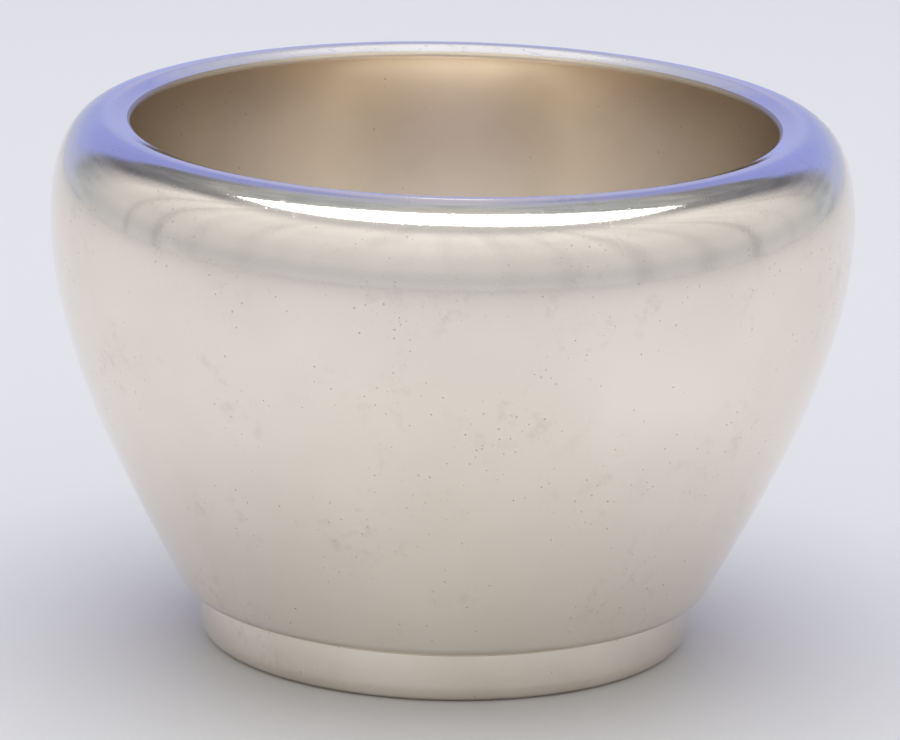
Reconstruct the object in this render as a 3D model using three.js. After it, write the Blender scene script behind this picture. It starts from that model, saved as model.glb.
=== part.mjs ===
// Lidless silver sugar bowl: a spun body with a turned-in shoulder on a soldered foot ring.
// Millimetres, +Z up, origin at the centre of the face that the bowl stands on.
import * as THREE from "three";

// Driving dimensions of the body
const BOWL_DIAMETER = 100; // widest, across the outside
const BOWL_HEIGHT = 66.65; // from the table to the top of the rim
const MOUTH_DIAMETER = 80.6; // clear opening inside the rolled edge
const WIDEST_HEIGHT = 54.5; // height of the widest point
const SHEET = 1.0; // thickness of the silver sheet
const CORNER_INSIDE_RADIUS = 1.9; // bend between bottom and wall, on the inside
const WALL_LEAN = 27.8; // degrees from upright, where the wall leaves the corner
const WALL_LOWER_PULL = 14.3; // how long the wall keeps that lean
const WALL_UPPER_PULL = 16.6; // how long the wall stays upright below the widest point
const SHOULDER_RISE = 7.8; // how long the shoulder keeps upright above the widest point
const SHOULDER_REACH = 3.9; // how long it runs level before the top of the rim
const RIM_WIDTH = 2.5; // from the rolled edge out to the top of the rim
const RIM_DROP = 0.65; // the rim sinks this far from its top to the rolled edge
const RIM_SLOPE = 15; // degrees from level, where the rim meets the rolled edge
const RIM_TOP_PULL = 0.6; // how long the rim stays level inside its top
const RIM_EDGE_PULL = 1.5; // how long it keeps its slope before the rolled edge
const BOTTOM_RISE = 0.8; // the bottom is pushed up this far in the middle

// Driving dimensions of the foot
const FOOT_DIAMETER = 61.6; // across the outside of the band
const FOOT_HEIGHT = 6.4; // from the table to the seam
const FOOT_SHEET = 1.4; // thickness of the band
const FOOT_EDGE_RADIUS = 2.0; // outside radius of the turned-in lower edge
const FOOT_TURN_IN = 0.9; // width of the level face that it stands on
const FOOT_TOP_ROUND = 0.25; // eased outer edge at the seam
const SEAM_STEP = 0.2; // the body's corner starts this far outside the band
const SOLDER_LEG = 0.9; // size of the solder fillet along each side
const SOLDER_CLEARANCE = 0.1; // between the fillet and the band's inner wall

// Fineness of the revolved solids
const TURN_STEPS = 72;
const BOTTOM_STEPS = 4;
const CORNER_STEPS = 5;
const WALL_STEPS = 11;
const SHOULDER_STEPS = 11;
const RIM_STEPS = 4;
const LIP_STEPS = 6;
const FOOT_EDGE_STEPS = 6;
const SMALL_ROUND_STEPS = 3;

// Sizes that follow from the driving ones
const bowlRadius = BOWL_DIAMETER / 2;
const lipRadius = SHEET / 2;
const rimSlope = THREE.MathUtils.degToRad(RIM_SLOPE);
const lipCentreRadius = MOUTH_DIAMETER / 2 + lipRadius;
const lipCentreHeight = BOWL_HEIGHT - RIM_DROP - lipRadius * Math.cos(rimSlope);
const footRadius = FOOT_DIAMETER / 2;
const footInnerRadius = footRadius - FOOT_SHEET;
const seatOuterRadius = footRadius + SEAM_STEP;
const seatInnerRadius = footInnerRadius - SOLDER_CLEARANCE - SOLDER_LEG - SEAM_STEP;

const silver = (colour, roughness) =>
  new THREE.MeshStandardMaterial({ color: colour, metalness: 1, roughness });

// Turns a closed outline, given as radius and height, about the upright axis.
function revolve(outline) {
  const geometry = new THREE.LatheGeometry(outline, TURN_STEPS);
  geometry.rotateX(Math.PI / 2);
  return geometry;
}

function piece(name, outline, material) {
  const mesh = new THREE.Mesh(revolve(outline), material);
  mesh.name = name;
  return mesh;
}

// The outside of the body, from the axis under the bottom to the start of the mouth's edge.
// Each stretch is a curve and the number of steps that it is divided into.
function bodyStretches() {
  const lean = THREE.MathUtils.degToRad(WALL_LEAN);
  const wallDirection = new THREE.Vector2(Math.sin(lean), Math.cos(lean));
  const cornerRadius = CORNER_INSIDE_RADIUS + SHEET;
  const cornerCentre = new THREE.Vector2(seatOuterRadius, FOOT_HEIGHT + cornerRadius);
  const cornerEnd = cornerCentre
    .clone()
    .add(new THREE.Vector2(Math.cos(lean), -Math.sin(lean)).multiplyScalar(cornerRadius));
  const bottomCentre = new THREE.Vector2(0, FOOT_HEIGHT + BOTTOM_RISE);
  const bottomFlank = new THREE.Vector2(seatInnerRadius / 2, FOOT_HEIGHT + BOTTOM_RISE);
  const seatFlank = new THREE.Vector2(seatInnerRadius / 2, FOOT_HEIGHT);
  const seatInner = new THREE.Vector2(seatInnerRadius, FOOT_HEIGHT);
  const seatOuter = new THREE.Vector2(seatOuterRadius, FOOT_HEIGHT);
  const widest = new THREE.Vector2(bowlRadius, WIDEST_HEIGHT);
  const rimTop = new THREE.Vector2(lipCentreRadius + RIM_WIDTH, BOWL_HEIGHT);
  const rimEdge = new THREE.Vector2(
    lipCentreRadius - lipRadius * Math.sin(rimSlope), BOWL_HEIGHT - RIM_DROP,
  );
  const rimDirection = new THREE.Vector2(Math.cos(rimSlope), Math.sin(rimSlope));
  const wallStart = cornerEnd.clone().addScaledVector(wallDirection, WALL_LOWER_PULL);
  const wallEnd = new THREE.Vector2(bowlRadius, WIDEST_HEIGHT - WALL_UPPER_PULL);
  const shoulderStart = new THREE.Vector2(bowlRadius, WIDEST_HEIGHT + SHOULDER_RISE);
  const shoulderEnd = new THREE.Vector2(rimTop.x + SHOULDER_REACH, BOWL_HEIGHT);
  const rimStart = new THREE.Vector2(rimTop.x - RIM_TOP_PULL, BOWL_HEIGHT);
  const rimEnd = rimEdge.clone().addScaledVector(rimDirection, RIM_EDGE_PULL);
  const corner = new THREE.EllipseCurve(
    cornerCentre.x, cornerCentre.y, cornerRadius, cornerRadius, -Math.PI / 2, -lean,
  );
  return [
    [new THREE.CubicBezierCurve(bottomCentre, bottomFlank, seatFlank, seatInner), BOTTOM_STEPS],
    [new THREE.LineCurve(seatInner, seatOuter), 1],
    [corner, CORNER_STEPS],
    [new THREE.CubicBezierCurve(cornerEnd, wallStart, wallEnd, widest), WALL_STEPS],
    [new THREE.CubicBezierCurve(widest, shoulderStart, shoulderEnd, rimTop), SHOULDER_STEPS],
    [new THREE.CubicBezierCurve(rimTop, rimStart, rimEnd, rimEdge), RIM_STEPS],
  ];
}

// The same stretch of sheet on its inside: every point moved in by the sheet's thickness.
function insidePoints(curve, steps) {
  const points = [];
  for (let step = steps; step >= 0; step -= 1) {
    const along = step / steps;
    const tangent = curve.getTangent(along);
    const inward = new THREE.Vector2(-tangent.y, tangent.x);
    points.push(curve.getPoint(along).addScaledVector(inward, SHEET));
  }
  return points;
}

function arcPoints(centreRadius, centreHeight, radius, from, to, steps) {
  const arc = new THREE.EllipseCurve(
    centreRadius, centreHeight, radius, radius, from, to, to < from,
  );
  return arc.getPoints(steps);
}

// Joins runs of points and leaves out the ones that repeat where two runs meet.
function joinRuns(runs) {
  const same = 1e-3;
  const outline = [];
  for (const point of runs.flat()) {
    const last = outline[outline.length - 1];
    if (!last || last.distanceTo(point) > same) {
      outline.push(point);
    }
  }
  return outline;
}

function closed(outline) {
  return [...outline, outline[0].clone()];
}

function bowlBody() {
  const stretches = bodyStretches();
  const outside = stretches.map(([curve, steps]) => curve.getPoints(steps));
  const lip = arcPoints(
    lipCentreRadius, lipCentreHeight, lipRadius,
    Math.PI / 2 + rimSlope, Math.PI * 1.5 + rimSlope, LIP_STEPS,
  );
  const inside = [...stretches].reverse().map(([curve, steps]) => insidePoints(curve, steps));
  const outline = joinRuns([...outside, lip, ...inside]);
  outline[0].x = 0;
  outline[outline.length - 1].x = 0;
  return piece("bowl_body", outline, silver(0xe4dfd4, 0.12));
}

// A strip bent into a ring: upright band, lower edge turned in round a bend, level underside.
function footRing() {
  const insideBend = FOOT_EDGE_RADIUS - FOOT_SHEET;
  const bendCentre = footRadius - FOOT_EDGE_RADIUS;
  const innerEdge = bendCentre - FOOT_TURN_IN;
  const topRound = arcPoints(
    footRadius - FOOT_TOP_ROUND, FOOT_HEIGHT - FOOT_TOP_ROUND, FOOT_TOP_ROUND,
    Math.PI / 2, 0, SMALL_ROUND_STEPS,
  );
  const outerBend = arcPoints(
    bendCentre, FOOT_EDGE_RADIUS, FOOT_EDGE_RADIUS, 0, -Math.PI / 2, FOOT_EDGE_STEPS,
  );
  const innerBend = arcPoints(
    bendCentre, FOOT_EDGE_RADIUS, insideBend, -Math.PI / 2, 0, SMALL_ROUND_STEPS,
  );
  const clockwise = joinRuns([
    [new THREE.Vector2(footInnerRadius, FOOT_HEIGHT)],
    topRound,
    outerBend,
    [new THREE.Vector2(innerEdge, 0), new THREE.Vector2(innerEdge, FOOT_SHEET)],
    innerBend,
  ]);
  return piece("foot_ring", closed(clockwise.reverse()), silver(0xd6cfc1, 0.16));
}

// A ring of solder in the corner under the bottom, hollow on the side that shows.
function footSolder() {
  const outer = footInnerRadius - SOLDER_CLEARANCE;
  const hollow = arcPoints(
    outer - SOLDER_LEG, FOOT_HEIGHT - SOLDER_LEG, SOLDER_LEG, 0, Math.PI / 2, SMALL_ROUND_STEPS,
  );
  const outline = [new THREE.Vector2(outer, FOOT_HEIGHT), ...hollow.reverse()];
  return piece("foot_solder", closed(outline), silver(0xb9b1a2, 0.45));
}

const sugarBowl = new THREE.Group();
sugarBowl.add(bowlBody(), footRing(), footSolder());

export default sugarBowl;
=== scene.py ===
# Lidless silver sugar bowl: the looks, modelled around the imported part.
# Metres, +Z up, origin at the centre of the face that the bowl stands on.
import math

import bmesh
import bpy
from mathutils import Matrix, Vector


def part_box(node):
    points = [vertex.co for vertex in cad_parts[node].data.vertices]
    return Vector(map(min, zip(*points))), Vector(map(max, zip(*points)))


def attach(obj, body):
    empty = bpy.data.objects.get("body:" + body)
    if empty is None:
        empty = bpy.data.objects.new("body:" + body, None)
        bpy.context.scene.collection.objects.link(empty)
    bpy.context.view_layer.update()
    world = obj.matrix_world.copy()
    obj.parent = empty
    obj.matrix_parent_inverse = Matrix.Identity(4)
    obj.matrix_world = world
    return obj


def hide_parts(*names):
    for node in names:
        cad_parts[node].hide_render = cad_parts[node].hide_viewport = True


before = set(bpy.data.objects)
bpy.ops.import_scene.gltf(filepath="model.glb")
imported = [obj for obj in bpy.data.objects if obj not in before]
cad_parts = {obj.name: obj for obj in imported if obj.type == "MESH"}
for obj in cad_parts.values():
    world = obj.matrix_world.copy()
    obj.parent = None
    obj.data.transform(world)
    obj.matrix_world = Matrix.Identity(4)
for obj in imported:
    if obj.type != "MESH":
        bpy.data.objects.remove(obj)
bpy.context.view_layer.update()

bl_info = {
    "name": "Silver Sugar Bowl",
    "version": (1, 0, 0),
    "blender": (4, 5, 0),
    "location": "3D View > Sidebar > Sugar Bowl",
    "description": "Models a lidless silver sugar bowl on its foot ring and sets it in a plain studio",
    "category": "Object",
}

MM = 0.001
BODY = "root"

# Points closer than this become one, after a turn round the axis and after an edge is rounded
TURNED_MERGE = 0.005 * MM
ROUNDED_MERGE = 0.002 * MM

# Room for rounding errors where points are picked by their place
PICK_ROOM = 0.01 * MM

# Faces that meet at less than this are shaded as one smooth surface
SMOOTH_ANGLE = math.radians(50)

body_low, body_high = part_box("bowl_body")
foot_low, foot_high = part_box("foot_ring")
solder_low, solder_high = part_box("foot_solder")


# The sizes and colours that a user would change

class BowlSizes(bpy.types.PropertyGroup):
    """Sizes of the bowl's sheet and foot"""

    bowl_diameter: bpy.props.FloatProperty(
        name="Bowl Diameter", description="Greatest diameter of the body",
        default=body_high.x - body_low.x, unit="LENGTH")
    bowl_height: bpy.props.FloatProperty(
        name="Bowl Height", description="From the table to the top of the rim",
        default=body_high.z, unit="LENGTH")
    mouth_diameter: bpy.props.FloatProperty(
        name="Mouth Diameter", description="Clear opening inside the rolled edge",
        default=80.6 * MM, unit="LENGTH")
    widest_height: bpy.props.FloatProperty(
        name="Widest Height", description="Height of the widest point of the body",
        default=54.5 * MM, unit="LENGTH")
    sheet: bpy.props.FloatProperty(
        name="Sheet", description="Thickness of the silver sheet",
        default=1.0 * MM, unit="LENGTH")
    corner_radius: bpy.props.FloatProperty(
        name="Corner Radius", description="Outside radius of the bend between bottom and wall",
        default=2.9 * MM, unit="LENGTH")
    wall_lean: bpy.props.FloatProperty(
        name="Wall Lean", description="Lean of the wall from upright where it leaves the corner",
        default=math.radians(27.8), unit="ROTATION")
    wall_lower_pull: bpy.props.FloatProperty(
        name="Wall Lower Pull", description="How long the wall keeps its lean",
        default=14.3 * MM, unit="LENGTH")
    wall_upper_pull: bpy.props.FloatProperty(
        name="Wall Upper Pull", description="How long the wall stays upright below the widest point",
        default=16.6 * MM, unit="LENGTH")
    shoulder_rise: bpy.props.FloatProperty(
        name="Shoulder Rise", description="How long the shoulder keeps upright above the widest point",
        default=7.8 * MM, unit="LENGTH")
    shoulder_reach: bpy.props.FloatProperty(
        name="Shoulder Reach", description="How long the shoulder runs level before the rim's top",
        default=3.9 * MM, unit="LENGTH")
    rim_width: bpy.props.FloatProperty(
        name="Rim Width", description="From the rolled edge out to the top of the rim",
        default=2.5 * MM, unit="LENGTH")
    rim_drop: bpy.props.FloatProperty(
        name="Rim Drop", description="How far the rim sinks from its top to the rolled edge",
        default=0.65 * MM, unit="LENGTH")
    rim_slope: bpy.props.FloatProperty(
        name="Rim Slope", description="Slope of the rim where it meets the rolled edge",
        default=math.radians(15), unit="ROTATION")
    rim_top_pull: bpy.props.FloatProperty(
        name="Rim Top Pull", description="How long the rim stays level inside its top",
        default=0.6 * MM, unit="LENGTH")
    rim_edge_pull: bpy.props.FloatProperty(
        name="Rim Edge Pull", description="How long the rim keeps its slope before the rolled edge",
        default=1.5 * MM, unit="LENGTH")
    bottom_rise: bpy.props.FloatProperty(
        name="Bottom Rise", description="How far the bottom is pushed up in the middle",
        default=0.8 * MM, unit="LENGTH")
    foot_diameter: bpy.props.FloatProperty(
        name="Foot Diameter", description="Across the outside of the foot band",
        default=foot_high.x - foot_low.x, unit="LENGTH")
    foot_height: bpy.props.FloatProperty(
        name="Foot Height", description="From the table to the seam under the body",
        default=foot_high.z, unit="LENGTH")
    foot_sheet: bpy.props.FloatProperty(
        name="Foot Sheet", description="Thickness of the foot band",
        default=1.4 * MM, unit="LENGTH")
    foot_edge_radius: bpy.props.FloatProperty(
        name="Foot Edge Radius", description="Outside radius of the turned-in lower edge",
        default=2.0 * MM, unit="LENGTH")
    foot_turn_in: bpy.props.FloatProperty(
        name="Foot Turn-in", description="Width of the level face that the bowl stands on",
        default=0.9 * MM, unit="LENGTH")
    foot_top_round: bpy.props.FloatProperty(
        name="Foot Top Round", description="Eased outer edge of the band at the seam",
        default=0.25 * MM, unit="LENGTH")
    seam_step: bpy.props.FloatProperty(
        name="Seam Step", description="How far outside the band the body's corner starts",
        default=0.2 * MM, unit="LENGTH")
    solder_leg: bpy.props.FloatProperty(
        name="Solder Leg", description="Size of the solder fillet along each side",
        default=solder_high.z - solder_low.z, unit="LENGTH")
    solder_clearance: bpy.props.FloatProperty(
        name="Solder Clearance", description="Room between the fillet and the band's inner wall",
        default=0.1 * MM, unit="LENGTH")
    turn_steps: bpy.props.IntProperty(
        name="Turn Steps", description="Faces round the axis", default=192, min=24)
    curve_steps: bpy.props.IntProperty(
        name="Curve Steps", description="Faces along each curved stretch of an outline",
        default=24, min=4)


class BowlFinish(bpy.types.PropertyGroup):
    """Colours and polish of the silver"""

    silver: bpy.props.FloatVectorProperty(
        name="Silver", description="Colour that the polished silver gives to what it mirrors",
        default=(0.93, 0.86, 0.77), subtype="COLOR", min=0, max=1)
    tarnish: bpy.props.FloatVectorProperty(
        name="Tarnish", description="Thin brown tarnish in pits and in the seam",
        default=(0.42, 0.35, 0.27), subtype="COLOR", min=0, max=1)
    inside: bpy.props.FloatVectorProperty(
        name="Inside", description="Worn gilt tone of the inside",
        default=(0.94, 0.84, 0.71), subtype="COLOR", min=0, max=1)
    # The rolled edge's darker gilt is painted shade, which dims the softbox's highlight along it
    lip_shaded: bpy.props.FloatVectorProperty(
        name="Lip", description="Rubbed, darker gilt on the rolled edge of the mouth",
        default=(0.76, 0.66, 0.53), subtype="COLOR", min=0, max=1)
    solder: bpy.props.FloatVectorProperty(
        name="Solder", description="Dull hard solder under the bottom",
        default=(0.62, 0.58, 0.51), subtype="COLOR", min=0, max=1)
    polish: bpy.props.FloatProperty(
        name="Polish", description="Roughness of the body's polished outside",
        default=0.07, subtype="FACTOR", min=0, max=1)
    foot_polish: bpy.props.FloatProperty(
        name="Foot Polish", description="Roughness of the foot band",
        default=0.10, subtype="FACTOR", min=0, max=1)
    inside_polish: bpy.props.FloatProperty(
        name="Inside Polish", description="Roughness of the inside",
        default=0.30, subtype="FACTOR", min=0, max=1)
    lip_polish: bpy.props.FloatProperty(
        name="Lip Polish", description="Roughness of the rolled edge",
        default=0.5, subtype="FACTOR", min=0, max=1)
    solder_polish: bpy.props.FloatProperty(
        name="Solder Polish", description="Roughness of the solder",
        default=0.42, subtype="FACTOR", min=0, max=1)


class BowlStudio(bpy.types.PropertyGroup):
    """The plain studio round the bowl"""

    floor_colour: bpy.props.FloatVectorProperty(
        name="Floor", description="Colour of the pale floor",
        default=(0.72, 0.712, 0.705), subtype="COLOR", min=0, max=1)
    floor_radius: bpy.props.FloatProperty(
        name="Floor Radius", description="Reach of the floor round the bowl",
        default=0.8, unit="LENGTH")
    softbox_strength: bpy.props.FloatProperty(
        name="Softbox Strength", description="Brightness of the overhead softbox's face",
        default=3.5, min=0)
    softbox_height: bpy.props.FloatProperty(
        name="Softbox Height", description="Height of the softbox above the table",
        default=1.2, unit="LENGTH")
    lamp_power: bpy.props.FloatProperty(
        name="Lamp Power", description="Power of the round lamp that lights the table from above",
        default=5.0, unit="POWER", min=0)
    lamp_size: bpy.props.FloatProperty(
        name="Lamp Size", description="Diameter of the round lamp", default=1.0, unit="LENGTH")
    lamp_height: bpy.props.FloatProperty(
        name="Lamp Height", description="Height of the round lamp above the table",
        default=0.8, unit="LENGTH")
    lamp_behind: bpy.props.FloatProperty(
        name="Lamp Behind", description="How far behind the bowl the round lamp hangs",
        default=0.17, unit="LENGTH")
    card_behind: bpy.props.FloatProperty(
        name="Card Behind", description="How far behind the bowl's axis the narrow card stands",
        default=0.20, unit="LENGTH")
    card_top_width: bpy.props.FloatProperty(
        name="Card Top Width", description="Width of the card along its upper edge",
        default=0.018, unit="LENGTH")
    card_foot_width: bpy.props.FloatProperty(
        name="Card Foot Width", description="Width of the card along its lower edge",
        default=0.0306, unit="LENGTH")
    card_bottom: bpy.props.FloatProperty(
        name="Card Bottom", description="Height of the card's lower edge",
        default=0.150, unit="LENGTH")
    card_top: bpy.props.FloatProperty(
        name="Card Top", description="Height of the card's upper edge",
        default=0.238, unit="LENGTH")


# Outlines, as stretches of Bezier curve in radius and height

def straight(start, end):
    """A straight stretch."""
    return (start, start.lerp(end, 1 / 3), start.lerp(end, 2 / 3), end)


def arc(centre, radius, start_angle, end_angle):
    """One stretch of a circle, up to a quarter turn."""
    handle = 4 / 3 * math.tan((end_angle - start_angle) / 4) * radius

    def at(angle):
        return centre + radius * Vector((math.cos(angle), math.sin(angle)))

    def along(angle):
        return handle * Vector((-math.sin(angle), math.cos(angle)))

    start, end = at(start_angle), at(end_angle)
    return (start, start + along(start_angle), end - along(end_angle), end)


def lip_shape(sizes):
    """The centre of the rolled edge, its radius and the way that the rim climbs out from it."""
    radius = sizes.sheet / 2
    climb = Vector((math.cos(sizes.rim_slope), math.sin(sizes.rim_slope)))
    centre = Vector((sizes.mouth_diameter / 2 + radius,
                     sizes.bowl_height - sizes.rim_drop - radius * climb.x))
    return centre, radius, climb


def solder_reach(sizes):
    """The outer radius of the solder fillet, just clear of the foot band, and its inner one."""
    outer = sizes.foot_diameter / 2 - sizes.foot_sheet - sizes.solder_clearance
    return outer, outer - sizes.solder_leg


def body_outline(sizes):
    """The outside of the body from the axis under the bottom to the rolled edge of the mouth."""
    solder_inner = solder_reach(sizes)[1]
    seat_inner = Vector((solder_inner - sizes.seam_step, sizes.foot_height))
    seat_outer = Vector((sizes.foot_diameter / 2 + sizes.seam_step, sizes.foot_height))
    bottom = Vector((0, sizes.foot_height + sizes.bottom_rise))
    bottom_flank = Vector((seat_inner.x / 2, bottom.y))
    seat_flank = Vector((seat_inner.x / 2, sizes.foot_height))
    corner_centre = seat_outer + Vector((0, sizes.corner_radius))
    corner = arc(corner_centre, sizes.corner_radius, -math.pi / 2, -sizes.wall_lean)
    wall_way = Vector((math.sin(sizes.wall_lean), math.cos(sizes.wall_lean)))
    widest = Vector((sizes.bowl_diameter / 2, sizes.widest_height))
    lip_centre, lip_radius, climb = lip_shape(sizes)
    rim_top = Vector((lip_centre.x + sizes.rim_width, sizes.bowl_height))
    rim_edge = lip_centre + lip_radius * Vector((-climb.y, climb.x))
    return [
        (bottom, bottom_flank, seat_flank, seat_inner),
        straight(seat_inner, seat_outer),
        corner,
        (corner[3], corner[3] + sizes.wall_lower_pull * wall_way,
         widest - Vector((0, sizes.wall_upper_pull)), widest),
        (widest, widest + Vector((0, sizes.shoulder_rise)),
         rim_top + Vector((sizes.shoulder_reach, 0)), rim_top),
        (rim_top, rim_top - Vector((sizes.rim_top_pull, 0)),
         rim_edge + sizes.rim_edge_pull * climb, rim_edge),
    ]


def foot_outline(sizes):
    """The outside of the foot band from the seam to the inner edge of its turned-in foot."""
    radius = sizes.foot_diameter / 2
    bend_centre = Vector((radius - sizes.foot_edge_radius, sizes.foot_edge_radius))
    top = Vector((radius, sizes.foot_height))
    bend = arc(bend_centre, sizes.foot_edge_radius, 0, -math.pi / 2)
    inner = bend[3] - Vector((sizes.foot_turn_in, 0))
    return [straight(top, bend[0]), bend, straight(bend[3], inner)]


def solder_outline(sizes):
    """The whole section of the solder fillet, whose hollow side faces down and in."""
    outer, inner = solder_reach(sizes)
    hollow_centre = Vector((inner, sizes.foot_height - sizes.solder_leg))
    hollow = arc(hollow_centre, sizes.solder_leg, 0, math.pi / 2)
    corner = Vector((outer, sizes.foot_height))
    return [hollow, straight(hollow[3], corner), straight(corner, hollow[0])]


# Modelling steps

def deselect_all():
    """Leaves edit mode and deselects every object."""
    if bpy.context.object and bpy.context.object.mode != "OBJECT":
        bpy.ops.object.mode_set(mode="OBJECT")
    bpy.ops.object.select_all(action="DESELECT")


def radius_and_height(point):
    """How far a point is from the axis, and how high."""
    return math.hypot(point.x, point.y), point.z


def select_vertices(piece, wanted):
    """In edit mode, selects the vertices for which wanted(radius, height) is true."""
    mesh = bmesh.from_edit_mesh(piece.data)
    for vertex in mesh.verts:
        vertex.select = wanted(*radius_and_height(vertex.co))
    mesh.select_flush_mode()
    bmesh.update_edit_mesh(piece.data)


def select_edges(piece, wanted):
    """In edit mode, selects the edges whose two ends both satisfy wanted(radius, height)."""
    mesh = bmesh.from_edit_mesh(piece.data)
    for part in (*mesh.verts, *mesh.edges, *mesh.faces):
        part.select = False
    for edge in mesh.edges:
        edge.select = all(wanted(*radius_and_height(vertex.co)) for vertex in edge.verts)
    bmesh.update_edit_mesh(piece.data)


def draw_outline(name, stretches, steps):
    """A Bezier curve through the stretches, drawn in the XZ plane and made a mesh line."""
    deselect_all()
    bpy.ops.curve.primitive_bezier_curve_add(location=(0, 0, 0))
    drawn = bpy.context.object
    drawn.data.resolution_u = steps
    spline = drawn.data.splines[0]
    spline.resolution_u = steps
    spline.bezier_points.add(len(stretches) - 1)

    def upright(point):
        return Vector((point.x, 0, point.y))

    for point in spline.bezier_points:
        point.handle_left_type = point.handle_right_type = "FREE"
    for before, after, stretch in zip(spline.bezier_points, spline.bezier_points[1:], stretches):
        before.co, before.handle_right, after.handle_left, after.co = map(upright, stretch)
    first, last = spline.bezier_points[0], spline.bezier_points[-1]
    first.handle_left, last.handle_right = first.co, last.co
    bpy.ops.object.convert(target="MESH")
    piece = bpy.context.object
    piece.name = name
    piece.data.name = name
    return piece


def spin_round(steps):
    """Turns the active outline once round the upright axis and closes the seam and the pole."""
    bpy.ops.object.mode_set(mode="EDIT")
    bpy.ops.mesh.select_all(action="SELECT")
    bpy.ops.mesh.spin(steps=steps, angle=math.tau, center=(0, 0, 0), axis=(0, 0, 1))
    bpy.ops.mesh.select_all(action="SELECT")
    bpy.ops.mesh.remove_doubles(threshold=TURNED_MERGE)
    bpy.ops.mesh.normals_make_consistent(inside=False)
    bpy.ops.object.mode_set(mode="OBJECT")


def give_finishes(piece, *materials):
    """Fills the piece's material slots in order."""
    piece.data.materials.clear()
    for material in materials:
        piece.data.materials.append(material)


def thicken(piece, thickness, inside_slot=0):
    """Gives the turned shell its sheet thickness, inwards from the drawn outline."""
    solidify = piece.modifiers.new("Sheet", "SOLIDIFY")
    solidify.thickness = thickness
    solidify.offset = -1
    solidify.use_even_offset = True
    solidify.use_quality_normals = True
    solidify.material_offset = inside_slot
    bpy.ops.object.modifier_apply(modifier=solidify.name)


def ease_edges(piece, wanted, radius, segments):
    """Rounds the edges that wanted(radius, height) picks."""
    bpy.ops.object.mode_set(mode="EDIT")
    bpy.ops.mesh.select_mode(type="EDGE")
    select_edges(piece, wanted)
    bpy.ops.mesh.bevel(offset=radius, segments=segments, profile=0.5, affect="EDGES")
    bpy.ops.mesh.select_all(action="SELECT")
    bpy.ops.mesh.remove_doubles(threshold=ROUNDED_MERGE)
    bpy.ops.object.mode_set(mode="OBJECT")


def finish_piece(piece, node):
    """Shades the piece smooth and lets it stand for its CAD node."""
    deselect_all()
    piece.select_set(True)
    bpy.context.view_layer.objects.active = piece
    bpy.ops.object.shade_smooth_by_angle(angle=SMOOTH_ANGLE)
    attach(piece, BODY)
    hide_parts(node)
    piece.select_set(False)


# The rolled edge at the mouth

# The body's material slots after its first, which holds the finish of the outside
INSIDE_SLOT = 1
LIP_SLOT = 2

# Shares of half the sheet: how much of its edge is rounded, how far out the darker gilt
# of the rolled edge, painted shade, reaches, and how far above its middle that gilt ends on the inside
LIP_ROUNDING = 0.98
LIP_GILT_WIDTH = 0.9
LIP_GILT_END = 0.1


def by_mouth(sizes, room):
    """A test that is true by the mouth, for places less than room out from the edge's tip."""
    lip_centre, lip_radius, climb = lip_shape(sizes)

    def test(radius, height):
        along = (Vector((radius, height)) - lip_centre).dot(climb) + lip_radius
        return along < room and height > lip_centre.y - 2 * lip_radius

    return test


def run_out_to_tip(piece, sizes):
    """Draws the outline on down the rim's slope, to the tip of the rolled edge."""
    lip_radius, climb = lip_shape(sizes)[1:]
    bpy.ops.object.mode_set(mode="EDIT")
    bpy.ops.mesh.select_mode(type="VERT")
    select_vertices(piece, by_mouth(sizes, lip_radius + PICK_ROOM))
    bpy.ops.mesh.extrude_region_move(TRANSFORM_OT_translate={
        "value": (-lip_radius * climb.x, 0, -lip_radius * climb.y)})
    bpy.ops.object.mode_set(mode="OBJECT")


def roll_edge(piece, sizes):
    """Rounds the sheet's edge at the mouth and gives it its own finish, a darker gilt that is painted
    shade.
    """
    lip_centre, lip_radius = lip_shape(sizes)[:2]
    ease_edges(piece, by_mouth(sizes, PICK_ROOM), LIP_ROUNDING * lip_radius, segments=6)
    on_lip = by_mouth(sizes, LIP_GILT_WIDTH * lip_radius)
    gilt_end = lip_centre.y + LIP_GILT_END * lip_radius
    for face in piece.data.polygons:
        if on_lip(*radius_and_height(face.center)):
            face.material_index = LIP_SLOT if face.center.z > gilt_end else INSIDE_SLOT


# Node helpers

def add_node(tree, kind, label="", settings=None, **inputs):
    """Adds a node, sets its options and fills or links its inputs by name."""
    node = tree.nodes.new(kind)
    node.label = label
    for option, value in (settings or {}).items():
        setattr(node, option, value)
    for key, value in inputs.items():
        fill(tree, node, key.replace("_", " "), value)
    return node


def fill(tree, node, key, value):
    """Links a socket to an input, or sets the input's value."""
    target = node.inputs[key]
    if isinstance(value, bpy.types.NodeSocket):
        tree.links.new(value, target)
    else:
        target.default_value = value


def maths(tree, operation, *values, clamp=False):
    """The result of a Math node."""
    node = tree.nodes.new("ShaderNodeMath")
    node.operation = operation
    node.use_clamp = clamp
    for index, value in enumerate(values):
        fill(tree, node, index, value)
    return node.outputs[0]


def vector_maths(tree, operation, label, vector, other):
    """A vector with another added or multiplied, or scaled by a number."""
    node = add_node(tree, "ShaderNodeVectorMath", label, {"operation": operation})
    fill(tree, node, 0, vector)
    fill(tree, node, "Scale" if operation == "SCALE" else 1, other)
    return node.outputs[0]


def with_alpha(colour):
    """A colour as a colour socket takes it. A socket is left as it is."""
    if isinstance(colour, bpy.types.NodeSocket):
        return colour
    return (*colour, 1.0)


# The Mix node's sockets for colours, which follow those for numbers and vectors
MIX_FIRST, MIX_SECOND, MIX_RESULT = 6, 7, 2


def mix_colours(tree, factor, first, second):
    """The first colour where the factor is 0 and the second where it is 1."""
    node = tree.nodes.new("ShaderNodeMix")
    node.data_type = "RGBA"
    fill(tree, node, 0, factor)
    fill(tree, node, MIX_FIRST, with_alpha(first))
    fill(tree, node, MIX_SECOND, with_alpha(second))
    return node.outputs[MIX_RESULT]


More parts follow.
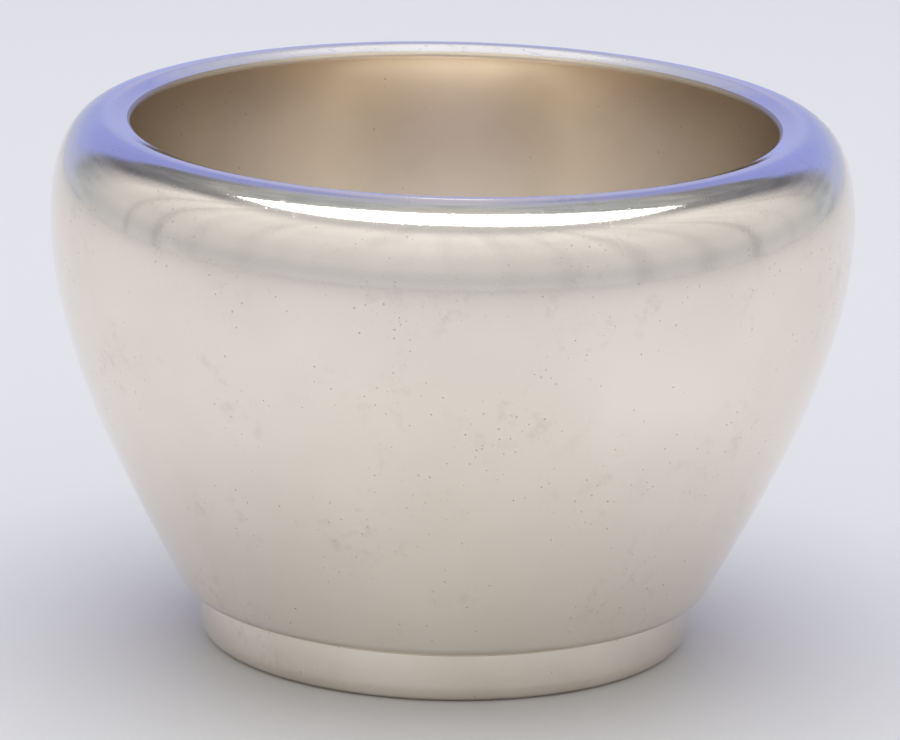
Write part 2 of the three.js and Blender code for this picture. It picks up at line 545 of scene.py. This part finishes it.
def remap(tree, value, from_low, from_high, to_low=0.0, to_high=1.0, smooth=True):
    """The value's range made another, held at both ends."""
    node = tree.nodes.new("ShaderNodeMapRange")
    node.interpolation_type = "SMOOTHSTEP" if smooth else "LINEAR"
    for index, given in enumerate((value, from_low, from_high, to_low, to_high)):
        fill(tree, node, index, given)
    return node.outputs[0]


def noise(tree, label, place, scale=1.0, detail=1.0, roughness=0.5):
    """The strength of a Noise Texture."""
    node = add_node(tree, "ShaderNodeTexNoise", label,
                    Vector=place, Scale=scale, Detail=detail, Roughness=roughness)
    return node.outputs[0]


def ramp(tree, value, stops):
    """A colour ramp with soft steps between stops given as (position, colour)."""
    node = tree.nodes.new("ShaderNodeValToRGB")
    node.color_ramp.interpolation = "EASE"
    elements = node.color_ramp.elements
    while len(elements) < len(stops):
        elements.new(0.5)
    for element, (position, colour) in zip(elements, stops):
        element.position = position
        element.color = (*colour, 1.0)
    fill(tree, node, 0, value)
    return node.outputs[0]


def place_on_piece(tree):
    """The place of a surface point in the piece's own metres."""
    return tree.nodes.new("ShaderNodeTexCoord").outputs["Object"]


def height_of(tree, place):
    """How high a place is."""
    return add_node(tree, "ShaderNodeSeparateXYZ", Vector=place).outputs["Z"]


def new_group(name, inputs, outputs):
    """An empty shader node group with named sockets, and its two end nodes."""
    group = bpy.data.node_groups.new(name, "ShaderNodeTree")
    for socket_name, kind, default in inputs:
        made = group.interface.new_socket(socket_name, in_out="INPUT", socket_type=kind)
        if default is not None:
            made.default_value = default
    for socket_name, kind in outputs:
        group.interface.new_socket(socket_name, in_out="OUTPUT", socket_type=kind)
    start = group.nodes.new("NodeGroupInput")
    end = group.nodes.new("NodeGroupOutput")
    return group, start.outputs, end.inputs


def place_group(tree, name, **inputs):
    """The outputs of a shared node group, placed with its own values."""
    node = tree.nodes.new("ShaderNodeGroup")
    node.node_tree = shared_group(name)
    for key, value in inputs.items():
        fill(tree, node, key, value)
    return node.outputs


# Effects that the silver surfaces share. A scale is in cells or waves to the metre.

def wear_pits(name):
    """Small scattered pits, thicker in some patches than in others, and smudges round them.

    Amount raises the share of the cells that hold a pit, and the strength of the smudges.
    """
    patch_shift = (0.028, -0.019, -0.002)
    patch_scale, patch_edge = 90.0, (0.42, 0.64)
    fewest, most = 0.03, 0.34
    smallest, largest = 0.12, 0.32
    pit_floor = 0.35
    blot_scale, blot_edge = 420.0, (0.50, 0.72)
    smudge_edge = (0.46, 0.66)
    group, given, out = new_group(
        name,
        [("Vector", "NodeSocketVector", None), ("Scale", "NodeSocketFloat", 900.0),
         ("Amount", "NodeSocketFloat", 0.5)],
        [("Mask", "NodeSocketFloat"), ("Smudge", "NodeSocketFloat")],
    )
    cells = add_node(group, "ShaderNodeTexVoronoi", "pit places",
                     {"feature": "F1"}, Vector=given["Vector"], Scale=given["Scale"])
    shifted = vector_maths(group, "ADD", "where the patches lie", given["Vector"], patch_shift)
    patches = noise(group, "patches", shifted, patch_scale, detail=2.0)
    chosen = add_node(group, "ShaderNodeSeparateColor", "random value of each cell",
                      Color=cells.outputs["Color"])
    share = remap(group, patches, *patch_edge, fewest, most)
    share = maths(group, "MULTIPLY", share, given["Amount"])
    picked = maths(group, "LESS_THAN", chosen.outputs[0], share)
    reach = remap(group, chosen.outputs[1], 0.0, 1.0, smallest, largest, smooth=False)
    near = maths(group, "DIVIDE", cells.outputs["Distance"], reach)
    dent = remap(group, near, 1.0, pit_floor)
    group.links.new(maths(group, "MULTIPLY", dent, picked), out["Mask"])
    blots = noise(group, "blots", given["Vector"], blot_scale, detail=3.0, roughness=0.7)
    smudge = maths(group, "MULTIPLY", remap(group, blots, *blot_edge),
                   remap(group, patches, *smudge_edge))
    group.links.new(maths(group, "MULTIPLY", smudge, given["Amount"]), out["Smudge"])
    return group


def fine_scratches(name):
    """Short hairline scratches that cross in three slanting directions."""
    turned_about = (0.4, 1.0, 0.2)
    turns_and_thinness = ((0.5, 14.0), (-0.9, 18.0), (1.35, 12.0))
    length_scale = 60.0
    line_edge = (0.70, 0.76)
    group, given, out = new_group(
        name,
        [("Vector", "NodeSocketVector", None), ("Scale", "NodeSocketFloat", 1.0),
         ("Amount", "NodeSocketFloat", 0.5)],
        [("Mask", "NodeSocketFloat")],
    )
    total = None
    for turn, thinness in turns_and_thinness:
        turned = add_node(group, "ShaderNodeVectorRotate", "direction",
                          {"rotation_type": "AXIS_ANGLE"},
                          Vector=given["Vector"], Axis=turned_about, Angle=turn)
        across = length_scale * thinness
        drawn = vector_maths(group, "MULTIPLY", "long and thin", turned.outputs[0],
                             (across, across, length_scale))
        sized = vector_maths(group, "SCALE", "scale", drawn, given["Scale"])
        line = remap(group, noise(group, "lines", sized), *line_edge)
        total = line if total is None else maths(group, "MAXIMUM", total, line)
    group.links.new(maths(group, "MULTIPLY", total, given["Amount"]), out["Mask"])
    return group


def cloudy_tone(name):
    """Broad, faint patches where the polish has dulled."""
    patch_edge = (0.3, 0.7)
    group, given, out = new_group(
        name,
        [("Vector", "NodeSocketVector", None), ("Scale", "NodeSocketFloat", 40.0)],
        [("Value", "NodeSocketFloat")],
    )
    broad = noise(group, "broad", given["Vector"], given["Scale"], detail=3.0, roughness=0.55)
    group.links.new(remap(group, broad, *patch_edge), out["Value"])
    return group


GROUP_BUILDERS = {
    "Wear Pits": wear_pits,
    "Fine Scratches": fine_scratches,
    "Cloudy Tone": cloudy_tone,
}


def shared_group(name):
    """The node group of that name, built when a material first asks for it."""
    return bpy.data.node_groups.get(name) or GROUP_BUILDERS[name](name)


# Materials

def new_material(name):
    """A material and its Principled shader."""
    material = bpy.data.materials.new(name)
    material.use_nodes = True
    return material, material.node_tree.nodes["Principled BSDF"]


def glowing_material(name, strength):
    """A material that gives out plain white light from its Emission node."""
    material = bpy.data.materials.new(name)
    material.use_nodes = True
    tree = material.node_tree
    tree.nodes.clear()
    glow = add_node(tree, "ShaderNodeEmission", Color=with_alpha((1, 1, 1)), Strength=strength)
    end = tree.nodes.new("ShaderNodeOutputMaterial")
    tree.links.new(glow.outputs[0], end.inputs[0])
    return material


# How large the marks on the silver are, in cells or waves to the metre
CLOUD_SCALE = 38.0
PIT_SCALE = 1500.0
SWELL_SCALE = 55.0
GRAIN_SCALE = 2200.0

# How much of the tarnish's colour each shows at full strength
PIT_STAIN = 0.5
SMUDGE_STAIN = 0.17
SEAM_STAIN = 0.85

# How far above and below the seam the tarnish starts to fade, and where it ends
SEAM_CORE = 0.05 * MM
SEAM_END = 0.35 * MM

# How much roughness each adds
CLOUD_DULLING = 0.04
HAIR_DULLING = 0.15
PIT_DULLING = 0.25

# How high or deep each is, in millimetres
SWELL_HEIGHT = 0.010
GRAIN_HEIGHT = 0.006
PIT_DEPTH = 0.008
HAIR_DEPTH = 0.002

# Turns the rougher way of a spun finish from round the axis to up and down
QUARTER_TURN = 0.25


def surface_relief(tree, place, pit_mask, hair_mask):
    """The surface's height in millimetres: a slow swell and grain, less pits and hairlines."""
    swell = noise(tree, "slow swell of spun sheet", place, SWELL_SCALE)
    relief = maths(tree, "MULTIPLY", swell, SWELL_HEIGHT)
    grain = noise(tree, "fine polishing marks", place, GRAIN_SCALE)
    relief = maths(tree, "ADD", relief, maths(tree, "MULTIPLY", grain, GRAIN_HEIGHT))
    relief = maths(tree, "SUBTRACT", relief, maths(tree, "MULTIPLY", pit_mask, PIT_DEPTH))
    return maths(tree, "SUBTRACT", relief, maths(tree, "MULTIPLY", hair_mask, HAIR_DEPTH))


def silver_material(name, colour, tarnish, roughness, pits, scratches, cloud,
                    seam_height=None, spun=0.0):
    """Polished sheet silver with pits, hairlines and cloudy patches of thin tarnish.

    A seam_height gives it a dark line at that height. spun is how much finer the finish is
    round the axis than up and down, because marks of the lathe run round the bowl.
    """
    material, shader = new_material(name)
    tree = material.node_tree
    place = place_on_piece(tree)
    shader.inputs["Metallic"].default_value = 1.0
    shader.inputs["Anisotropic"].default_value = spun
    shader.inputs["Anisotropic Rotation"].default_value = QUARTER_TURN
    clouds = place_group(tree, "Cloudy Tone", Vector=place, Scale=CLOUD_SCALE)["Value"]
    wear = place_group(tree, "Wear Pits", Vector=place, Scale=PIT_SCALE, Amount=pits)
    pit_mask = wear["Mask"]
    hair_mask = place_group(tree, "Fine Scratches", Vector=place, Amount=scratches)["Mask"]

    toned = mix_colours(tree, maths(tree, "MULTIPLY", clouds, cloud), colour, tarnish)
    dirty = maths(tree, "MAXIMUM", maths(tree, "MULTIPLY", pit_mask, PIT_STAIN),
                  maths(tree, "MULTIPLY", wear["Smudge"], SMUDGE_STAIN))
    toned = mix_colours(tree, dirty, toned, tarnish)
    if seam_height is not None:
        above_seam = maths(tree, "SUBTRACT", height_of(tree, place), seam_height)
        offset = maths(tree, "ABSOLUTE", above_seam)
        in_seam = remap(tree, offset, SEAM_END, SEAM_CORE, 0.0, SEAM_STAIN)
        toned = mix_colours(tree, in_seam, toned, tarnish)
    tree.links.new(toned, shader.inputs["Base Color"])

    rough = maths(tree, "ADD", maths(tree, "MULTIPLY", clouds, CLOUD_DULLING), roughness)
    rough = maths(tree, "ADD", rough, maths(tree, "MULTIPLY", hair_mask, HAIR_DULLING))
    rough = maths(tree, "ADD", rough, maths(tree, "MULTIPLY", pit_mask, PIT_DULLING), clamp=True)
    tree.links.new(rough, shader.inputs["Roughness"])

    relief = surface_relief(tree, place, pit_mask, hair_mask)
    bump = add_node(tree, "ShaderNodeBump", Height=relief, Strength=1.0, Distance=1.0 * MM)
    tree.links.new(bump.outputs[0], shader.inputs["Normal"])
    return material


# Operators, one for each piece

class SUGARBOWL_OT_body(bpy.types.Operator):
    """Turns the bowl's body from its outline, with a rolled edge at the mouth"""

    bl_idname = "sugarbowl.body"
    bl_label = "Bowl Body"

    def execute(self, context):
        sizes, finish = context.scene.bowl_sizes, context.scene.bowl_finish
        piece = draw_outline("bowl_body_silver", body_outline(sizes), sizes.curve_steps)
        run_out_to_tip(piece, sizes)
        spin_round(sizes.turn_steps)
        give_finishes(
            piece,
            silver_material("body_silver", finish.silver, finish.tarnish, finish.polish,
                            pits=1.0, scratches=0.6, cloud=0.10, seam_height=sizes.foot_height),
            silver_material("inside_gilt", finish.inside, finish.tarnish, finish.inside_polish,
                            pits=0.2, scratches=0.6, cloud=0.20, spun=0.9),
            # The rolled edge's gilt is darker as painted shade, which dims its highlight
            silver_material("lip_gilt_shaded", finish.lip_shaded, finish.tarnish, finish.lip_polish,
                            pits=0.0, scratches=0.3, cloud=0.10, spun=0.9))
        thicken(piece, sizes.sheet, inside_slot=INSIDE_SLOT)
        roll_edge(piece, sizes)
        finish_piece(piece, "bowl_body")
        return {"FINISHED"}


class SUGARBOWL_OT_foot(bpy.types.Operator):
    """Turns the foot band, with its lower edge bent in"""

    bl_idname = "sugarbowl.foot"
    bl_label = "Foot Ring"

    def execute(self, context):
        sizes, finish = context.scene.bowl_sizes, context.scene.bowl_finish
        piece = draw_outline("foot_ring_silver", foot_outline(sizes), sizes.curve_steps)
        spin_round(sizes.turn_steps)
        give_finishes(piece, silver_material(
            "foot_silver", finish.silver, finish.tarnish, finish.foot_polish,
            pits=1.2, scratches=0.8, cloud=0.28, seam_height=sizes.foot_height))
        thicken(piece, sizes.foot_sheet)
        top = sizes.foot_height - PICK_ROOM
        outer = sizes.foot_diameter / 2 - PICK_ROOM
        ease_edges(piece, lambda radius, height: radius > outer and height > top,
                   sizes.foot_top_round, segments=4)
        finish_piece(piece, "foot_ring")
        return {"FINISHED"}


class SUGARBOWL_OT_solder(bpy.types.Operator):
    """Turns the solder fillet in the corner between the foot ring and the bottom"""

    bl_idname = "sugarbowl.solder"
    bl_label = "Foot Solder"

    def execute(self, context):
        sizes, finish = context.scene.bowl_sizes, context.scene.bowl_finish
        piece = draw_outline("foot_solder_fillet", solder_outline(sizes), steps=6)
        spin_round(sizes.turn_steps)
        give_finishes(piece, silver_material(
            "solder", finish.solder, finish.tarnish, finish.solder_polish,
            pits=2.0, scratches=0.2, cloud=0.4))
        finish_piece(piece, "foot_solder")
        return {"FINISHED"}


# The studio's floor, lights and glowing card

def lay_floor(studio):
    """A round pale floor under the bowl."""
    deselect_all()
    bpy.ops.mesh.primitive_circle_add(
        vertices=128, radius=studio.floor_radius, fill_type="NGON", location=(0, 0, 0))
    floor = bpy.context.object
    floor.name = "floor"
    material, shader = new_material("floor_paper")
    shader.inputs["Roughness"].default_value = 0.6
    shader.inputs["Base Color"].default_value = with_alpha(studio.floor_colour)
    give_finishes(floor, material)


# The softbox's shape, as shares of its height above the table: its reach to the sides,
# how full its sides are, its shift to the right, its reach to the front, how far in front
# of the bowl the middle of its rear edge hangs, and how much that edge is bowed
SOFTBOX_SIDE_REACH = 0.75
SOFTBOX_SIDE_FULLNESS = 0.85
SOFTBOX_SHIFT = 0.03
SOFTBOX_FRONT_REACH = 0.63
SOFTBOX_REAR_MIDDLE = 0.14
SOFTBOX_REAR_BOW = 0.5

# The panel starts as a circle. Its sides bend into the rear edge within this share of the
# circle's radius.
SOFTBOX_REAR_BEND = 0.125


def softbox_place(x, y):
    """Where a point of the unit circle lies on the softbox, in shares of its height."""
    across = SOFTBOX_SIDE_REACH * math.copysign(abs(x) ** SOFTBOX_SIDE_FULLNESS, x) + SOFTBOX_SHIFT
    if y < 0:
        return across, SOFTBOX_FRONT_REACH * y
    rear_edge = SOFTBOX_REAR_BOW * across * across - SOFTBOX_REAR_MIDDLE
    return across, rear_edge * min(1.0, y / SOFTBOX_REAR_BEND)


def hang_softbox(studio):
    """The overhead softbox: an oval panel whose rear edge is bowed forward over the bowl."""
    reach = studio.softbox_height
    deselect_all()
    bpy.ops.mesh.primitive_circle_add(
        vertices=64, radius=reach, fill_type="NGON", location=(0, 0, 0))
    panel = bpy.context.object
    panel.name = "softbox"
    for vertex in panel.data.vertices:
        across, along = softbox_place(vertex.co.x / reach, vertex.co.y / reach)
        vertex.co = (across * reach, along * reach, reach)
    give_finishes(panel, glowing_material("softbox_cloth", studio.softbox_strength))
    panel.visible_camera = panel.visible_diffuse = False


def hang_table_lamp(studio):
    """A wide round lamp over the bowl. It lights the table, and the silver doesn't mirror it."""
    lamp = bpy.data.lights.new("table_lamp", "AREA")
    lamp.shape = "DISK"
    lamp.size = studio.lamp_size
    lamp.energy = studio.lamp_power
    lamp_object = bpy.data.objects.new("table_lamp", lamp)
    lamp_object.location = (0, studio.lamp_behind, studio.lamp_height)
    lamp_object.visible_glossy = False
    bpy.context.scene.collection.objects.link(lamp_object)


def stand_rear_card(studio):
    """A narrow upright card behind the bowl that glows, brighter at its top, and that only reflections
    see: painted light that the far rim mirrors as a bright line.
    """
    bottom, top = studio.card_bottom, studio.card_top
    deselect_all()
    bpy.ops.mesh.primitive_plane_add(size=1.0, location=(0, 0, 0))
    card = bpy.context.object
    card.name = "rear_card"
    for vertex in card.data.vertices:
        if vertex.co.y > 0:
            width, height = studio.card_top_width, top
        else:
            width, height = studio.card_foot_width, bottom
        vertex.co = (math.copysign(width / 2, vertex.co.x), studio.card_behind, height)
    material = glowing_material("card_glow", 1.0)
    tree = material.node_tree
    along = remap(tree, height_of(tree, place_on_piece(tree)), bottom, top, smooth=False)
    # Painted glow of the card: blue low down, brighter than white at the top
    colour = ramp(tree, along, [
        (0.0, (0.36, 0.41, 0.80)), (0.2, (0.44, 0.49, 0.77)), (0.42, (0.51, 0.55, 0.74)),
        (0.58, (0.64, 0.68, 0.83)), (0.72, (0.93, 0.98, 1.12)), (1.0, (1.02, 1.08, 1.24))])
    fill(tree, tree.nodes["Emission"], "Color", colour)
    give_finishes(card, material)
    card.visible_camera = card.visible_diffuse = card.visible_shadow = False


# The room that the silver mirrors. Its angles are degrees round from the camera, positive
# to the right, and degrees up from the level.

ROOM_LOW, ROOM_HIGH = -10, 90

# Where one part of the room starts to give way to the next, and where it has done so
TENT_EDGE = (112, 140)
SIDE_EDGE = (137, 148)
REAR_EDGE = (171, 178)

# The tent is drawn in towards its top: by TENT_LEAN at TENT_LEAN_HEIGHT, and no more than
# TENT_LEAN_MOST above it
TENT_LEAN_HEIGHT = 44
TENT_LEAN = 30
TENT_LEAN_MOST = 40

# Between these two heights the shaded sides come to reach this much further round
SIDE_SPREAD_HEIGHTS = (31, 40)
SIDE_SPREAD = 15

# Folds of the tent cloth, as the place of each, its half width and its depth
TENT_FOLDS = (
    (-105, 1.6, 0.24), (-92, 3.0, 0.21), (-78, 5.0, 0.05), (-60, 6.0, 0.05), (16, 5.0, 0.05),
    (33, 5.0, 0.08), (55, 6.0, 0.13), (77, 6.0, 0.12), (95, 3.0, 0.21), (112, 3.0, 0.07),
    (129, 2.6, 0.14),
)


def room_angles(tree):
    """The way that a ray leaves the bowl, as degrees round from the camera and degrees up."""
    way = tree.nodes.new("ShaderNodeTexCoord").outputs["Generated"]
    parts = add_node(tree, "ShaderNodeSeparateXYZ", Vector=way).outputs
    towards = maths(tree, "MULTIPLY", parts["Y"], -1.0)
    round_angle = maths(tree, "DEGREES", maths(tree, "ARCTAN2", parts["X"], towards))
    up_angle = maths(tree, "DEGREES", maths(tree, "ARCSINE", parts["Z"]))
    return round_angle, up_angle


def room_ramp(tree, up_angle, stops):
    """Colours by degrees up, from a little below the level to straight overhead."""
    along = remap(tree, up_angle, ROOM_LOW, ROOM_HIGH, smooth=False)
    return ramp(tree, along, [((degrees - ROOM_LOW) / (ROOM_HIGH - ROOM_LOW), colour)
                              for degrees, colour in stops])


def cloth_place(tree, across, up_angle, width, height):
    """A place for a noise whose waves are width degrees wide and height degrees high."""
    place = add_node(tree, "ShaderNodeCombineXYZ", X=maths(tree, "DIVIDE", across, width),
                     Y=maths(tree, "DIVIDE", up_angle, height))
    return place.outputs[0]


def tent_cloth(tree, round_angle, up_angle):
    """Pale cloth on the camera's side, whose folds lean together towards the top."""
    colour = room_ramp(tree, up_angle, [
        (-7, (0.66, 0.68, 0.70)), (-4, (0.60, 0.615, 0.64)), (1, (0.555, 0.57, 0.60)),
        (10, (0.65, 0.66, 0.67)), (27, (0.80, 0.79, 0.80)), (39, (0.88, 0.88, 0.88)),
        (49, (0.60, 0.605, 0.63)), (60, (0.62, 0.63, 0.66))])
    left, right = -60, 60
    left_lean, right_lean = 0.25, 0.42
    lean_height, rise_most = 50, 1.1
    lean = remap(tree, round_angle, left, right, left_lean, right_lean)
    rise = maths(tree, "MINIMUM", maths(tree, "DIVIDE", up_angle, lean_height), rise_most)
    drawn_in = maths(tree, "SUBTRACT", 1.0, maths(
        tree, "MULTIPLY", lean, maths(tree, "MULTIPLY", rise, rise)))
    fold_place = maths(tree, "DIVIDE", round_angle, drawn_in)
    shade = 1.0
    for centre, half_width, depth in TENT_FOLDS:
        away = maths(tree, "ABSOLUTE", maths(tree, "SUBTRACT", fold_place, centre))
        shade = maths(tree, "SUBTRACT", shade, remap(tree, away, half_width, 0, 0, depth))
    spot = cloth_place(tree, fold_place, up_angle, width=9, height=45)
    soft = noise(tree, "soft folds", spot, detail=3.0)
    low_strength, high_strength, high_angle = 0.08, 0.45, 38
    strength = remap(tree, up_angle, 0, high_angle, low_strength, high_strength)
    soft = maths(tree, "MULTIPLY", maths(tree, "SUBTRACT", soft, 0.5), strength)
    return vector_maths(tree, "SCALE", "brightness", colour, maths(tree, "ADD", shade, soft))


def shaded_side(tree, round_angle, up_angle):
    """The shaded cloth behind the tent's edge, on the left and on the right."""
    colour = room_ramp(tree, up_angle, [
        (0, (0.46, 0.50, 0.57)), (8, (0.35, 0.38, 0.44)), (18, (0.26, 0.27, 0.33)),
        (29, (0.15, 0.155, 0.19)), (36, (0.19, 0.20, 0.23)), (46, (0.24, 0.25, 0.28)),
        (53, (0.40, 0.41, 0.43)), (60, (0.38, 0.41, 0.44)), (72, (0.42, 0.46, 0.50)),
        (85, (0.52, 0.54, 0.55))])
    crease_edge = (0.3, 0.7)
    darkest, brightest = 0.86, 1.16
    spot = cloth_place(tree, round_angle, up_angle, width=12, height=4)
    creases = noise(tree, "creases", spot, detail=2.0)
    brightness = remap(tree, creases, *crease_edge, darkest, brightest)
    return vector_maths(tree, "SCALE", "brightness", colour, brightness)


def blue_back(tree, up_angle):
    """The violet blue behind the bowl, paler near the table."""
    return room_ramp(tree, up_angle, [
        (-5, (0.55, 0.59, 0.75)), (2, (0.47, 0.52, 0.77)), (10, (0.38, 0.44, 0.83)),
        (20, (0.33, 0.38, 0.86)), (32, (0.30, 0.345, 0.80)), (46, (0.33, 0.36, 0.65)),
        (56, (0.44, 0.47, 0.63)), (68, (0.47, 0.51, 0.60)), (82, (0.52, 0.54, 0.54))])


def pale_rear(tree, up_angle):
    """The paler strip straight behind the bowl."""
    return room_ramp(tree, up_angle, [
        (-6, (0.50, 0.55, 0.86)), (0, (0.42, 0.47, 0.88)), (14, (0.42, 0.47, 0.88)),
        (20, (0.48, 0.51, 0.80)), (37, (0.55, 0.55, 0.72)), (49, (0.52, 0.52, 0.63)),
        (62, (0.53, 0.57, 0.67)), (70, (0.39, 0.44, 0.49)), (78, (0.45, 0.50, 0.48)),
        (90, (0.60, 0.66, 0.65))])


def paint_room():
    """The room as the world: tent cloth on the camera's side, shaded sides and a blue back."""
    world = bpy.data.worlds.new("room")
    bpy.context.scene.world = world
    world.use_nodes = True
    tree = world.node_tree
    tree.nodes.clear()
    round_angle, up_angle = room_angles(tree)
    turn = maths(tree, "ABSOLUTE", round_angle)
    height = maths(tree, "DIVIDE", maths(tree, "MAXIMUM", up_angle, 0), TENT_LEAN_HEIGHT)
    drawn_in = maths(tree, "MINIMUM", maths(tree, "MULTIPLY", TENT_LEAN, maths(
        tree, "POWER", height, 3)), TENT_LEAN_MOST)
    past_tent = remap(tree, maths(tree, "ADD", turn, drawn_in), *TENT_EDGE)
    spread = remap(tree, up_angle, *SIDE_SPREAD_HEIGHTS, 0, SIDE_SPREAD)
    past_side = remap(tree, maths(tree, "SUBTRACT", turn, spread), *SIDE_EDGE)
    past_back = remap(tree, turn, *REAR_EDGE)
    cloth = tent_cloth(tree, round_angle, up_angle)
    side = shaded_side(tree, round_angle, up_angle)
    colour = mix_colours(tree, past_tent, cloth, side)
    colour = mix_colours(tree, past_side, colour, blue_back(tree, up_angle))
    colour = mix_colours(tree, past_back, colour, pale_rear(tree, up_angle))
    background = add_node(tree, "ShaderNodeBackground", Color=colour, Strength=1.0)
    output = tree.nodes.new("ShaderNodeOutputWorld")
    tree.links.new(background.outputs[0], output.inputs[0])


# The camera: its place and aim in metres, its roll in radians and its lens in millimetres
CAMERA_PLACE = (0, -0.8, 0.24766)
CAMERA_AIM = (0.000108, 0, 0.03403)
CAMERA_ROLL = 0.024
CAMERA_LENS = 264.4


def set_camera():
    """The camera at the photographed bowl's viewing angle."""
    lens_camera = bpy.data.cameras.new("camera")
    lens_camera.sensor_width = 36.0
    lens_camera.lens = CAMERA_LENS
    lens_camera.clip_start = 0.01
    lens_camera.clip_end = 20.0
    camera = bpy.data.objects.new("camera", lens_camera)
    place, aim = Vector(CAMERA_PLACE), Vector(CAMERA_AIM)
    turned = (aim - place).to_track_quat("-Z", "Y").to_matrix().to_4x4()
    rolled = Matrix.Rotation(CAMERA_ROLL, 4, "Z")
    camera.matrix_world = Matrix.Translation(place) @ turned @ rolled
    bpy.context.scene.collection.objects.link(camera)
    bpy.context.scene.camera = camera


class SUGARBOWL_OT_studio(bpy.types.Operator):
    """Lays the floor, hangs the softbox, paints the room and sets the camera"""

    bl_idname = "sugarbowl.studio"
    bl_label = "Plain Studio"

    def execute(self, context):
        studio = context.scene.bowl_studio
        lay_floor(studio)
        hang_softbox(studio)
        hang_table_lamp(studio)
        stand_rear_card(studio)
        paint_room()
        set_camera()
        context.scene.view_settings.view_transform = "Standard"
        return {"FINISHED"}


class SUGARBOWL_PT_panel(bpy.types.Panel):
    """Lists the bowl's pieces and settings in the sidebar"""

    bl_idname = "SUGARBOWL_PT_panel"
    bl_label = "Silver Sugar Bowl"
    bl_space_type = "VIEW_3D"
    bl_region_type = "UI"
    bl_category = "Sugar Bowl"

    def draw(self, context):
        layout = self.layout
        for settings in (context.scene.bowl_sizes, context.scene.bowl_finish,
                         context.scene.bowl_studio):
            box = layout.box()
            for name in settings.bl_rna.properties.keys():
                if name not in ("rna_type", "name"):
                    box.prop(settings, name)
        for operator in OPERATORS:
            layout.operator(operator.bl_idname)


OPERATORS = (SUGARBOWL_OT_body, SUGARBOWL_OT_foot, SUGARBOWL_OT_solder, SUGARBOWL_OT_studio)
CLASSES = (BowlSizes, BowlFinish, BowlStudio, *OPERATORS, SUGARBOWL_PT_panel)


def register():
    for cls in CLASSES:
        bpy.utils.register_class(cls)
    bpy.types.Scene.bowl_sizes = bpy.props.PointerProperty(type=BowlSizes)
    bpy.types.Scene.bowl_finish = bpy.props.PointerProperty(type=BowlFinish)
    bpy.types.Scene.bowl_studio = bpy.props.PointerProperty(type=BowlStudio)


def unregister():
    del bpy.types.Scene.bowl_studio
    del bpy.types.Scene.bowl_finish
    del bpy.types.Scene.bowl_sizes
    for cls in reversed(CLASSES):
        bpy.utils.unregister_class(cls)


def main():
    """Makes the bowl and its studio."""
    register()
    bpy.ops.sugarbowl.body()
    bpy.ops.sugarbowl.foot()
    bpy.ops.sugarbowl.solder()
    bpy.ops.sugarbowl.studio()


if __name__ == "__main__":
    main()
